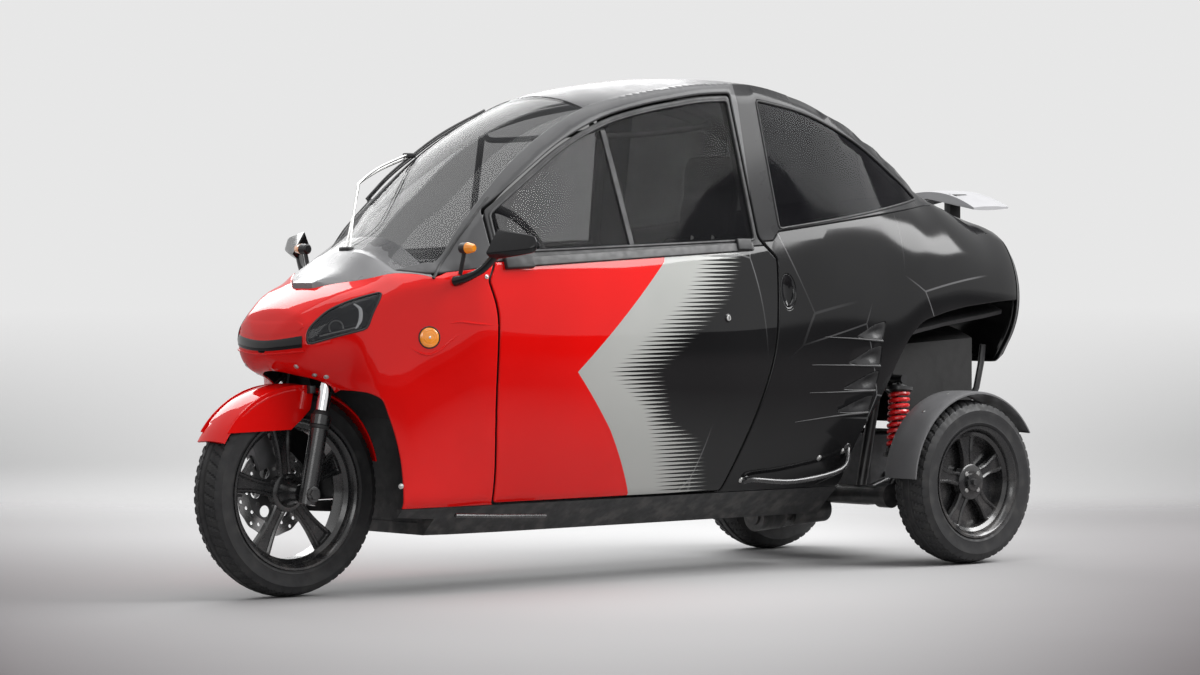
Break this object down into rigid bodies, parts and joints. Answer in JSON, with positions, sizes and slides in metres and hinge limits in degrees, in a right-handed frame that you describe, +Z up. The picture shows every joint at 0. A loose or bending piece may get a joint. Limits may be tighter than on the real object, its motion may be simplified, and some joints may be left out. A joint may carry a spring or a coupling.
{
  "type": "three wheeled car",
  "caption": "Enclosed tilting three wheeled car with a leaning two-seat cabin, one steered front wheel and a fixed rear drive unit.",
  "frame": {"origin": "on the ground, in the middle of the length and width", "axes": "+X forward, +Y to the driver's left, +Z up"},
  "size_m": [2.8899, 1.11, 1.4299],
  "materials": {
    "front_paint": "gloss",
    "door_paint": "gloss, fading to satin black",
    "rear_paint": "satin",
    "cowl_plastic": "satin grey",
    "frame_coat": "satin black",
    "rail_coat": "satin grey",
    "clear_glass": "tinted",
    "dark_glass": "dark tinted",
    "roof_skin": "gloss",
    "lamp_lens": "smoked gloss",
    "black_plastic": "moulded",
    "gloss_black": "gloss",
    "tyre_rubber": "rubber",
    "rim_coat": "satin black",
    "bright_chrome": "polished",
    "disc_steel": "brushed",
    "cast_alloy": "cast",
    "hose_rubber": "smooth",
    "spring_coat": "gloss",
    "cover_plastic": "satin",
    "seat_fabric": "woven"
  },
  "bodies": {
    "rear_unit": {"rear_frame": "frame_coat", "drive_unit": "cast_alloy", "rear_arms": "frame_coat", "rear_springs": "spring_coat", "rear_dampers": "frame_coat", "rear_mudguards": "gloss_black", "rear_cover": "cover_plastic", "plate_bracket": "black_plastic"},
    "rear_wheel_left": {"rear_tyre_left": "tyre_rubber", "rear_rim_left": "rim_coat"},
    "rear_wheel_right": {"rear_tyre_right": "tyre_rubber", "rear_rim_right": "rim_coat"},
    "cabin": {"main_frame": "frame_coat", "floor_pan": "black_plastic", "nose_shell": "front_paint", "cowl": "cowl_plastic", "wheelhouse": "black_plastic", "windscreen": "clear_glass", "roof_panel": "roof_skin", "rear_screen": "dark_glass", "roof_frame": "rail_coat", "quarter_windows": "dark_glass", "rear_body": "rear_paint", "rear_bulkhead": "black_plastic", "headlamps": "lamp_lens", "front_grille": "lamp_lens", "mirrors": "gloss_black", "wiper": "bright_chrome", "spoiler": "gloss_black", "front_seat": "seat_fabric", "rear_seat": "seat_fabric", "dashboard": "black_plastic", "battery_pack": "black_plastic", "step_bars": "frame_coat"},
    "front_fork": {"fork_yoke": "frame_coat", "fork_stanchions": "bright_chrome", "fork_legs": "frame_coat", "front_fender": "front_paint", "front_caliper": "cast_alloy", "front_brake_hose": "hose_rubber"},
    "front_wheel": {"front_tyre": "tyre_rubber", "front_rim": "rim_coat", "front_brake_disc": "disc_steel"},
    "door_left_leaf": {"door_left": "door_paint", "door_glass_left": "clear_glass"},
    "door_right_leaf": {"door_right": "door_paint", "door_glass_right": "clear_glass"},
    "hatch": {"tail_hatch": "rear_paint"},
    "hand_wheel": {"steering_wheel": "black_plastic"}
  },
  "joints": [
    {"name": "cabin_tilt", "type": "hinge", "parent": "rear_unit", "child": "cabin", "pos_m": [-0.8, 0, 0.15], "axis": [0.9988, 0, -0.0483], "range_deg": [-45, 45]},
    {"name": "steering", "type": "hinge", "parent": "cabin", "child": "front_fork", "pos_m": [1.13077, 0, 0.27272], "axis": [-0.2079, 0, 0.9781], "range_deg": [-30, 30]},
    {"name": "front_wheel_spin", "type": "hinge", "parent": "front_fork", "child": "front_wheel", "pos_m": [1.165, 0, 0.28], "axis": [0, 1, 0], "continuous": true},
    {"name": "rear_wheel_left_spin", "type": "hinge", "parent": "rear_unit", "child": "rear_wheel_left", "pos_m": [-1.015, 0.425, 0.243], "axis": [0, 1, 0], "continuous": true},
    {"name": "rear_wheel_right_spin", "type": "hinge", "parent": "rear_unit", "child": "rear_wheel_right", "pos_m": [-1.015, -0.425, 0.243], "axis": [0, 1, 0], "continuous": true},
    {"name": "door_left_swing", "type": "hinge", "parent": "cabin", "child": "door_left_leaf", "pos_m": [0.742, 0.35, 0.7], "axis": [0, 0, -1], "range_deg": [0, 62]},
    {"name": "door_right_swing", "type": "hinge", "parent": "cabin", "child": "door_right_leaf", "pos_m": [0.742, -0.35, 0.7], "axis": [0, 0, 1], "range_deg": [0, 62]},
    {"name": "hatch_lift", "type": "hinge", "parent": "cabin", "child": "hatch", "pos_m": [-1.382, 0, 1.007], "axis": [0, 1, 0], "range_deg": [0, 65]},
    {"name": "hand_wheel_turn", "type": "hinge", "parent": "cabin", "child": "hand_wheel", "pos_m": [0.395, 0, 0.893], "axis": [-0.9063, 0, 0.4226], "range_deg": [-150, 150]}
  ],
  "couplings": [
    {"joint": "hand_wheel_turn", "follows": "steering", "ratio": 5}
  ]
}
